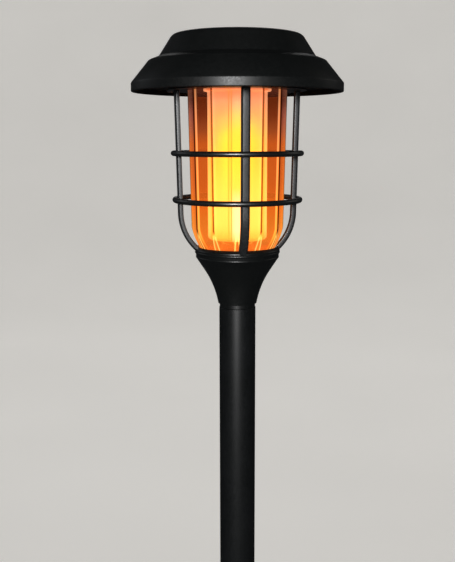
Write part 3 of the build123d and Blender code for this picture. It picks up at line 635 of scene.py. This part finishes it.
def lens_skin(inset, floor, head, line):
    """Outer or inner skin of the cup, and the marks where the finish paints its corner lines of
    highlight and shade.  At height z the outline is twelve flats at p / cos(f), with f the angle
    from a flat's middle, cut at each corner by a strip of half angle d at the radius k, so that p
    = k cos(half facet - d).
    Above the round k narrows with the taper and d is small; in the round k shrinks and d
    opens, which leaves a narrow arch under each corner.  A mark falls from 1 on a strip's
    edges to 0 over the line's width, which is 0.45 of itself at the foot."""
    low = np.linspace(0, 1, 24)
    height = np.append(floor + low * (lens_foot + round_rise - floor), head)[:, None]
    low = np.append(low, 1)[:, None]
    side_radius = lens_radius - (lens_head - lens_foot - round_rise) * math.tan(lens_taper)
    rounded = side_radius - round_inset * (1 - low) + 4 * round_bulge * low * (1 - low)
    rounded[-1] = lens_radius - (lens_head - head) * math.tan(lens_taper)
    strip = corner_soft + corner_wide * (1 - low)
    flat = rounded * np.cos(half_facet - strip) - inset
    corner = flat / np.cos(half_facet - strip)
    width = line * (0.45 + 0.55 * low) / corner
    edge = half_facet - strip
    inside = [share * (edge - width) for share in (0.3, 0.7, 1.0)]
    right = np.hstack([*inside, edge, edge + strip / 2])
    off_middle = np.hstack([0 * edge - half_facet, -right[:, ::-1], 0 * edge, right])
    mark = np.hstack([0 * edge] * 3 + [0 * edge + 1, np.maximum(1 - strip / 2 / width, 0)])
    mark = np.hstack([np.maximum(1 - strip / width, 0), mark[:, ::-1], 0 * edge, mark])
    reach = np.minimum(flat / np.cos(off_middle), corner)
    angle = (facet_turns[None] + off_middle[:, None, :]).reshape(len(low), -1)
    reach = np.tile(reach, (1, lens_facets))
    points = np.stack([reach * np.cos(angle), reach * np.sin(angle), height + 0 * angle], axis=-1)
    return points, np.tile(mark, (1, lens_facets))


def level(like, radius, height):
    """One round row of the lens's grid, at the angles of a row of its skin."""
    reach = np.hypot(like[:, 0], like[:, 1])
    return np.stack(
        [radius * like[:, 0] / reach, radius * like[:, 1] / reach, height + 0 * reach], axis=-1
    )[None]


flange_foot = lens_head - flange_thick
outer, outer_mark = lens_skin(0, lens_foot, flange_foot, line=0.9)
inner, inner_mark = lens_skin(lens_wall, lens_foot + lens_wall, lens_head, line=2.2)
no_mark = 0 * outer_mark[:1]
lens_rows = np.vstack(
    [
        level(outer[0], 0, lens_foot),
        outer,
        level(outer[-1], flange_radius - flange_edge, flange_foot),
        level(outer[-1], flange_radius, flange_foot + flange_edge),
        level(outer[-1], flange_radius, lens_head - flange_edge),
        level(outer[-1], flange_radius - flange_edge, lens_head),
        inner[::-1],
        level(inner[0], 0, lens_foot + lens_wall),
    ]
)
# where the lens's finish paints its lines: shade lines from the outer skin, highlight lines from
# the inner
painted_corner_line = np.vstack([no_mark, -outer_mark, *[no_mark] * 4, inner_mark[::-1], no_mark])
marks = {"painted_corner_line": painted_corner_line}
lens = piece("amber_lens_cup", [grid(lens_rows)], amber, crease=12, marks=marks)
stand_for(lens, "lens", "lantern")

# ================================================================ seals
# Two flat rings of black nitrile rubber: one under the lens's flange, one in the groove of
# the roof's base.  Die cut from sheet, so they are dull and slightly dusty.
nitrile = moulded(
    "nitrile_rubber_die_cut", "#0a0a0a", "#1c1b1a", rough=0.8, grain=1.4, relief=0.5, shine=0.3
)


def dress(node, finish):
    """Give its finish to a CAD node whose shape is kept."""
    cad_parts[node].data.materials[0] = finish


dress("lens_gasket", nitrile)
dress("cap_gasket", nitrile)

# ================================================================ flame tube
# Rolled opal polypropylene sleeve over the LED core, welded along a narrow seam.  It glows
# from inside: yellow where the flames stand, peach between them, orange in its round foot.
opal, tree, place = new_finish("opal_polypropylene_lit")
tube_foot, tube_head = (corner.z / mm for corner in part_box("flame_tube"))
glow_top = rim + 2
tube_rise = height_share(tree, place, tube_foot, glow_top)
# three flames, one of them towards the front
around = bearing(tree, place)
flame_beat = beat(tree, around, math.radians(-95), 3)
lick = add_node(
    tree, "TexNoise", {"Scale": 1 / (16 * mm), "Detail": 2.0, "Distortion": 0.4}, {"Vector": place}
)
# a flame's edge lies at about 0.9 of the height on its middle line and 0.6 halfway to the next
flame_reach = add_node(
    tree, "Math", {"operation": "MULTIPLY_ADD", 1: 0.48}, {0: flame_beat, 2: lick}
)
inside = add_node(
    tree, "Math", {"operation": "MULTIPLY_ADD", 1: -3.1}, {0: tube_rise, 2: flame_reach}
)
flame_body = add_node(
    tree,
    "MapRange",
    {"interpolation_type": "SMOOTHSTEP", "From Min": -2.3, "From Max": -1.3},
    {"Value": inside},
)
mantle = add_node(
    tree,
    "ValToRGB",
    links={"Fac": tube_rise},
    stops={
        0.0: "#60402c", 0.03: "#98743d", 0.12: "#a0b86b", 0.22: "#a6c07b",
        0.51: "#9cb576", 0.64: "#9aae7a", 0.73: "#98a37d", 0.83: "#98928e",
        0.92: "#94849c", 0.97: "#876a74", 1.0: "#876a74",
    },
)
heart = add_node(
    tree,
    "ValToRGB",
    links={"Fac": tube_rise},
    stops={
        0.0: "#8c7850", 0.03: "#a89c61", 0.12: "#a6bc80", 0.22: "#a8c282",
        0.38: "#a8c46c", 0.51: "#a8c455", 0.64: "#a6c456", 0.73: "#a2c664",
        0.83: "#9cbfa3", 0.92: "#a0b0e0", 1.0: "#8f7a83",
    },
)
flame = add_node(tree, "Mix", {"data_type": "RGBA"}, {0: flame_body, 6: mantle, 7: heart})
# halfway up, away from the front and the back, the flames thin out and look warmer
pair = beat(tree, around, lens_turn - math.pi / 2, 2)
shoulder_width = add_node(
    tree,
    "MapRange",
    {"interpolation_type": "SMOOTHSTEP", "From Min": 0.75, "From Max": 0.2},
    {"Value": pair},
)
shoulder_height = add_node(
    tree,
    "ValToRGB",
    links={"Fac": tube_rise},
    stops={
        0.1: "#000000", 0.24: "#949494", 0.39: "#aaaaaa", 0.51: "#ffffff",
        0.63: "#d9d9d9", 0.8: "#000000",
    },
)
shoulder = add_node(
    tree, "Math", {"operation": "MULTIPLY"}, {0: shoulder_width, 1: shoulder_height}
)
flame = add_node(
    tree,
    "Mix",
    {"data_type": "RGBA", "blend_type": "MULTIPLY", 7: linear("#ffe3ff")},
    {0: shoulder, 6: flame},
)
# the white root of each flame, low down on its middle line
root_width = add_node(
    tree,
    "MapRange",
    {"interpolation_type": "SMOOTHSTEP", "From Min": 0.6, "From Max": 1.0},
    {"Value": flame_beat},
)
root_height = add_node(
    tree,
    "ValToRGB",
    links={"Fac": tube_rise},
    stops={0.0: "#b0b0b0", 0.07: "#ffffff", 0.22: "#ffffff", 0.36: "#000000"},
)
root = add_node(tree, "Math", {"operation": "MULTIPLY"}, {0: root_width, 1: root_height})
flame = add_node(tree, "Mix", {"data_type": "RGBA", 7: linear("#ccd0fa")}, {0: root, 6: flame})
# the sleeve's sides, seen edge on, look paler because more of it lies in line
edge_on = add_node(
    tree,
    "MapRange",
    {"interpolation_type": "SMOOTHSTEP", "From Min": -0.45, "From Max": -0.75},
    {"Value": pair},
)
flame = add_node(
    tree,
    "Mix",
    {"data_type": "RGBA", "blend_type": "ADD", 7: linear("#00609c")},
    {0: edge_on, 6: flame},
)
# the seam's two edges, 2.6 degrees either side of its middle, hold a little light back
seam_turn, seam_half, seam_line = (math.radians(angle) for angle in (-111.2, 2.6, 0.5))
off_seam = add_node(tree, "Math", {"operation": "SUBTRACT", 1: seam_turn}, {0: around})
off_seam = add_node(tree, "Math", {"operation": "ABSOLUTE"}, {0: off_seam})
off_edge = add_node(tree, "Math", {"operation": "SUBTRACT", 1: seam_half}, {0: off_seam})
off_edge = add_node(tree, "Math", {"operation": "ABSOLUTE"}, {0: off_edge})
seam = add_node(
    tree,
    "MapRange",
    {"interpolation_type": "SMOOTHSTEP", "From Min": 2 * seam_line, "From Max": seam_line},
    {"Value": off_edge},
)
flame = add_node(tree, "Mix", {"data_type": "RGBA", 7: linear("#806a30")}, {0: seam, 6: flame})
shader = add_node(
    tree,
    "BsdfPrincipled",
    {"Base Color": linear("#f2ead8"), "Roughness": 0.5, "IOR": 1.49, "Emission Strength": 6.5},
    {"Emission Color": flame},
)
add_node(tree, "OutputMaterial", links={"Surface": shader})
tube_radius, tube_wall = 20.0, 1.2
tube_flange, tube_flange_low, tube_flange_high = 22.6, rim + 0.7, rim + 2.7
# radius, height and edge radius of each corner, from the foot's middle round to its inside
sleeve = np.array(
    [
        (0, tube_foot, 0),
        (tube_radius, tube_foot, 2.4),
        (tube_radius, tube_flange_low, 0.6),
        (tube_flange, tube_flange_low, 0.4),
        (tube_flange, tube_flange_high, 0.2),
        (tube_radius, tube_flange_high, 0.1),
        (tube_radius, tube_head, 0.2),
        (tube_radius - tube_wall, tube_head, 0.2),
        (tube_radius - tube_wall, tube_foot + tube_wall, 1.2),
        (0, tube_foot + tube_wall, 0),
    ]
)
sleeve_line = eased(sleeve[:, :2], sleeve[:, 2], 6)
tube = piece("flame_sleeve", [grid(turned(sleeve_line, 160))], opal, crease=40)
stand_for(tube, "flame_tube", "roof")

# ================================================================ flame LEDs
# White moulded core inside the tube, satin and a touch warm, with a flexible board wrapped
# round it.  The board is polyimide under an even white solder mask, and carries the LEDs.
core_abs = moulded("core_abs_white_satin", "#c8c4ba", "#dedad0", rough=0.5, grain=0.8, relief=0.15)
dress("led_core", core_abs)


def masked_board(name, mask, track, pitch, gap):
    """Solder-masked board.  Copper tracks show through the mask as a slightly different
    colour and stand up by their own thickness: lines every pitch millimetres, each a third of
    that wide, kept near the middles of cells that are gap millimetres wide."""
    finish, tree, place = new_finish(name)
    split = add_node(tree, "SeparateXYZ", links={"Vector": place})
    half_pitch = pitch / 2 * mm
    line = add_node(tree, "Math", {"operation": "PINGPONG", 1: half_pitch}, {0: split.outputs[0]})
    breaks = add_node(
        tree,
        "TexVoronoi",
        {"feature": "F1", "distance": "CHEBYCHEV", "Scale": 1 / (gap * mm)},
        {"Vector": place},
    )
    track_line = add_node(
        tree,
        "MapRange",
        {"From Min": 0.3 * half_pitch, "From Max": 0.4 * half_pitch, "To Min": 1.0, "To Max": 0.0},
        {"Value": line},
    )
    kept = add_node(tree, "Math", {"operation": "LESS_THAN", 1: 0.38}, {0: breaks})
    drawn = add_node(tree, "Math", {"operation": "MULTIPLY"}, {0: track_line, 1: kept})
    tint = add_node(
        tree, "Mix", {"data_type": "RGBA", 6: linear(mask), 7: linear(track)}, {0: drawn}
    )
    bump = add_node(tree, "Bump", {"Strength": 0.6, "Distance": 0.04 * mm}, {"Height": drawn})
    shader = add_node(
        tree,
        "BsdfPrincipled",
        {"Roughness": 0.32, "IOR": 1.52},
        {"Base Color": tint, "Normal": bump},
    )
    add_node(tree, "OutputMaterial", links={"Surface": shader})
    return finish


led_board = masked_board("polyimide_white_solder_mask", "#d8d6cc", "#c4c2b0", pitch=2.4, gap=5.0)
dress("flame_led_board", led_board)
# amber silicone full of phosphor grains, with a soft wet gloss
phosphor = moulded(
    "led_phosphor_amber_cast", "#d08018", "#f0b040", rough=0.35, grain=1.2, relief=0.3
)
dress("flame_leds", phosphor)

# ================================================================ roof cap
# Two-tier cap over everything.  ABS from a polished tool: near black, smooth, with a soft
# gloss that shows on the skirt.  A square recess in its flat top takes the solar panel.
roof_abs = moulded(
    "roof_abs_polished", "#040505", "#090a0a", rough=0.42, grain=1.0, relief=0.012, shine=0.18
)
roof_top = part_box("roof_cap")[1].z / mm
# radius, height and edge radius of each corner of the cap's section, from the rim's outside
# over the two tiers, in along the flat top and back down the inside
skirt_foot, skirt_head = np.array([70.9, rim + 5.5]), np.array([58.8, rim + 20.2])
inner_top = roof_top - 5.0
outline = np.array(
    [
        (70.9, rim, 0.5),
        (*skirt_foot, 0.9),
        (*skirt_head, 3.0),
        (52.4, rim + 22.7, 1.6),
        (43.0, roof_top, 5.0),
        (30.0, roof_top, 0),
        (30.0, inner_top, 0),
        (38.0, inner_top, 0),
        (50.0, rim + 21.2, 1),
        (56.6, rim + 18.6, 1),
        (68.9, rim + 4.4, 1),
        (68.9, rim, 0.4),
    ]
)
corner_steps = 8
roof_line = eased(outline[:, :2], outline[:, 2], corner_steps)
# points up to the end of the fifth corner are the outside, and the next two corners, where the
# recess's rows take over, are left out
outside, inside = 5 * (corner_steps + 1), 7 * (corner_steps + 1)
# the skirt's slope swells by 4 b s (1 - s) along its normal, s being the share of its length
skirt = skirt_head - skirt_foot
skirt_bulge = 1.1
share = np.clip((roof_line - skirt_foot) @ skirt / (skirt @ skirt), 0, 1)
share[outside:] = 0
normal = np.array([skirt[1], -skirt[0]]) / np.linalg.norm(skirt)
roof_line = roof_line + (skirt_bulge * 4 * share * (1 - share))[:, None] * normal
roof_steps = 240
roof_angle = np.linspace(0, 2 * np.pi, roof_steps, endpoint=False)
recess_half, recess_norm = 26.25, 60
cosine, sine = abs(np.cos(roof_angle)), abs(np.sin(roof_angle))
recess = recess_half / (cosine**recess_norm + sine**recess_norm) ** (1 / recess_norm)


def recess_row(grow, height):
    """One row of the recess's rounded square: half side over the 60-norm of (cos a, sin a)."""
    reach = recess + grow
    return np.stack(
        [reach * np.cos(roof_angle), reach * np.sin(roof_angle), height + 0 * roof_angle], axis=-1
    )[None]


panel_seat, recess_edge, edge_waist = roof_top - 2.65, 0.25, 0.08
round_rows = turned(roof_line, roof_steps)
roof_rows = np.vstack(
    [
        turned([(0, panel_seat)], roof_steps),
        recess_row(0, panel_seat),
        recess_row(0, roof_top - recess_edge),
        recess_row(edge_waist, roof_top - edge_waist),
        recess_row(recess_edge, roof_top),
        round_rows[:outside][::-1],
        round_rows[inside:][::-1],
        turned([(0, inner_top)], roof_steps),
    ]
)
roof = piece("roof_shell", [grid(roof_rows)], roof_abs, crease=30)
stand_for(roof, "roof_cap", "roof")

# ================================================================ roof base and screws
# Flat ABS plate that closes the roof from below, matt so that it stays dark over the lens.
# Four zinc-plated pan-head screws hold it up; four smaller ones hold the tray down on it.
base_abs = moulded(
    "base_abs_matt", "#050505", "#0b0b0b", rough=0.55, grain=0.9, relief=0.3, shine=0.1
)
softened("cap_base", "roof", base_abs, width=0.25)


def plated(name, low, high, rough, brush):
    """Plated steel.  Fine drawing lines run round the piece every brush millimetres, and
    the plating clouds between two greys every 1.5 mm."""
    finish, tree, place = new_finish(name)
    cloud = add_node(tree, "TexNoise", {"Scale": 1 / (1.5 * mm), "Detail": 3.0}, {"Vector": place})
    stretch = add_node(tree, "Mapping", {"Scale": (0.1, 0.1, 1.0)}, {"Vector": place})
    lines = add_node(
        tree, "TexNoise", {"Scale": 1 / (brush * mm), "Detail": 1.0}, {"Vector": stretch}
    )
    tint = add_node(tree, "ValToRGB", links={"Fac": cloud}, stops={0.3: low, 0.7: high})
    gloss = add_node(
        tree, "MapRange", {"To Min": rough - 0.06, "To Max": rough + 0.1}, {"Value": lines}
    )
    bump = add_node(
        tree, "Bump", {"Strength": 0.15, "Distance": 0.1 * brush * mm}, {"Height": lines}
    )
    shader = add_node(
        tree,
        "BsdfPrincipled",
        {"Metallic": 1.0},
        {"Base Color": tint, "Roughness": gloss, "Normal": bump},
    )
    add_node(tree, "OutputMaterial", links={"Surface": shader})
    return finish


# a cool bright grey
zinc = plated("steel_zinc_plated", "#8e9296", "#b4b6b8", rough=0.3, brush=0.3)


def pan_screws(node, circle, seat, head, shank, up):
    """Four pan-head screws in one piece, heads up or down.  A head's height over its seat is
    h sqrt(1 - (r / R)^4), less the cross: 0.9 mm deep where the smaller of |x| and |y| is
    under a seventh of R and the larger under 0.6 R."""
    head_radius, head_height = head
    shank_radius, shank_length = shank
    share = np.concatenate([np.linspace(0, 0.92, 24), [0.95, 0.975, 0.99, 1.0]])[:, None]
    angle = np.linspace(0, 2 * np.pi, 64, endpoint=False)
    x, y = head_radius * share * np.cos(angle), head_radius * share * np.sin(angle)
    cross = np.minimum(abs(x), abs(y)) < head_radius / 7
    cross &= np.maximum(abs(x), abs(y)) < 0.6 * head_radius
    crown = head_height * (1 - share**4) ** 0.5 + 0 * x
    crown = np.where(cross, np.minimum(crown, head_height - 0.9), crown)
    neck = turned([(shank_radius, 0), (shank_radius, -shank_length), (0, -shank_length)], 64)
    screw = np.vstack([np.stack([x, y, crown], axis=-1), neck]) * [1, 1, up]
    shells = []
    for quarter in range(4):
        turn = math.pi / 4 + quarter * math.pi / 2
        shells.append(grid(screw + [circle * math.cos(turn), circle * math.sin(turn), seat]))
    screws = piece(f"{node}_cross_recess", shells, zinc, crease=30)
    stand_for(screws, node, "roof")


base_low, base_high = rim + 3.5, rim + 6.0
tray_floor = 2.0
pan_screws("cap_base_screws", 60.5, base_low, head=(2.8, 1.7), shank=(1.4, 8.7), up=-1)
pan_screws("tray_screws", 50.0, base_high + tray_floor, head=(2.1, 1.5), shank=(1.1, 3.5), up=1)

# ================================================================ solar panel
# Ten cells in series on a black laminate, stuck into the roof's recess with foam tape and
# cast over with clear epoxy, whose meniscus leaves the face faintly domed.

# the tape's cut edge is dead matt and full of open cells
foam = moulded(
    "polyethylene_foam_tape_cut", "#1a1a1a", "#2c2c2c", rough=0.9, grain=0.5, relief=0.9, shine=0.2
)
dress("panel_tape", foam)
# nearly black, so that its tracks barely show
panel_board = masked_board("glass_laminate_black_mask", "#08090b", "#0d0f12", pitch=1.3, gap=3.0)
dress("solar_panel_board", panel_board)

# dark blue silicon, cloudy from its crystals: silver fingers every 1.9 mm across a cell, and a
# busbar down each column
cell_silicon, tree, place = new_finish("polycrystalline_silicon_etched")
split = add_node(tree, "SeparateXYZ", links={"Vector": place})
grain = add_node(tree, "TexNoise", {"Scale": 1 / (9 * mm), "Detail": 2.0}, {"Vector": place})
blue = add_node(tree, "ValToRGB", links={"Fac": grain}, stops={0.35: "#0e1838", 0.65: "#1a2c62"})
lines = []
for axis, pitch, half_width in ((1, 1.9, 0.07), (0, 11.8, 0.45)):
    edge = (pitch / 2 - half_width) * mm
    line = add_node(
        tree, "Math", {"operation": "PINGPONG", 1: pitch / 2 * mm}, {0: split.outputs[axis]}
    )
    lines.append(add_node(tree, "Math", {"operation": "GREATER_THAN", 1: edge}, {0: line}))
silver = add_node(tree, "Math", {"operation": "MAXIMUM"}, dict(enumerate(lines)))
face = add_node(tree, "Mix", {"data_type": "RGBA", 7: linear("#a8acb2")}, {0: silver, 6: blue})
shader = add_node(tree, "BsdfPrincipled", {"Roughness": 0.35, "IOR": 1.9}, {"Base Color": face})
add_node(tree, "OutputMaterial", links={"Surface": shader})
dress("solar_cells", cell_silicon)

# cast epoxy: clear, glossy, with the slow ripple of a poured surface
epoxy, tree, place = new_finish("epoxy_clear_cast")
ripple = add_node(tree, "TexNoise", {"Scale": 1 / (12 * mm), "Detail": 1.0}, {"Vector": place})
bump = add_node(tree, "Bump", {"Strength": 0.2, "Distance": 0.2 * mm}, {"Height": ripple})
shader = add_node(
    tree,
    "BsdfPrincipled",
    {"Base Color": linear("#f4f6f8"), "Roughness": 0.05, "IOR": 1.5, "Transmission Weight": 1.0},
    {"Normal": bump},
)
add_node(tree, "OutputMaterial", links={"Surface": shader})
# the cast's top stands over its edges by d ((1 - x^2) (1 - y^2))^0.35, x and y from -1 to 1
cast_low, cast_high = (corner.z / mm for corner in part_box("solar_panel_cover"))
cast_half, cast_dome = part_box("solar_panel_cover")[1].x / mm, 0.3
edge_shares = np.array([0.975, 0.994, 1])
side_shares = np.concatenate([-edge_shares[::-1], np.linspace(-0.95, 0.95, 27), edge_shares])
x, y = np.meshgrid(side_shares, side_shares)
dome = cast_dome * ((1 - x**2) * (1 - y**2)) ** 0.35
cast_top = np.stack([cast_half * x, cast_half * y, cast_high - cast_dome + dome], axis=-1)
cast_floor = np.stack([cast_half * x, cast_half * y, cast_low + 0 * x], axis=-1)
# the side wall runs round the four sides of both grids
cast_wall = np.stack(
    [
        np.concatenate([cast[0], cast[:, -1], cast[-1, ::-1], cast[::-1, 0]])
        for cast in (cast_floor, cast_top)
    ]
)
cast_faces = [grid(face, closed_columns=False) for face in (cast_top, cast_floor)]
cover = piece("panel_cast", [*cast_faces, grid(cast_wall)], epoxy, crease=40)
stand_for(cover, "solar_panel_cover", "roof")
# clear resin throws no shadow of its own on the cells
cover.visible_shadow = False
for lit in (cover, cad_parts["solar_cells"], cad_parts["solar_panel_board"]):
    panel_only.objects.link(lit)

# ================================================================ electronics
# Black ABS tray under the roof with the charging board, one rechargeable cell in its open
# holder and the switch.  Plain shop finishes: moulded, soldered, plated, shrink-sleeved.
tray_abs = moulded("tray_abs_textured", "#0b0b0c", "#161617", rough=0.5, grain=0.9, relief=0.4)
softened("electronics_tray", "roof", tray_abs, width=0.25)
softened("battery_holder", "roof", tray_abs, width=0.25)
# filled epoxy, dull and a little sandy from its mould
chip_epoxy = moulded("chip_epoxy_moulded", "#121212", "#222222", rough=0.6, grain=0.4, relief=0.4)
softened("circuit_parts", "roof", chip_epoxy, width=0.2)
charge_board = masked_board("glass_laminate_green_mask", "#0c4a22", "#1a6a34", pitch=1.7, gap=4.0)
dress("circuit_board", charge_board)
# warmer and brighter than the zinc of the screws
nickel = plated("spring_steel_nickel_plated", "#a6a49c", "#c8c6be", rough=0.25, brush=0.4)
dress("battery_contacts", nickel)
# plain blue sleeve, shrunk tight, so it is the one glossy thing in the tray
sleeve_pvc = moulded(
    "pvc_shrink_sleeve_glossy", "#123c78", "#1a4c90", rough=0.22, grain=3.0, relief=0.1
)
dress("battery_cell", sleeve_pvc)
# drier and greyer than the tray
switch_pbt = moulded("switch_pbt_moulded", "#1a1a1c", "#2a2a2c", rough=0.5, grain=0.6, relief=0.3)
softened("switch_body", "roof", switch_pbt, width=0.2)
# greyer than the roof around it, so that a hand finds it
button_abs = moulded("button_abs_satin", "#2c2c2e", "#3a3a3c", rough=0.45, grain=0.7, relief=0.2)
softened("power_button", "power_button", button_abs, width=0.3)
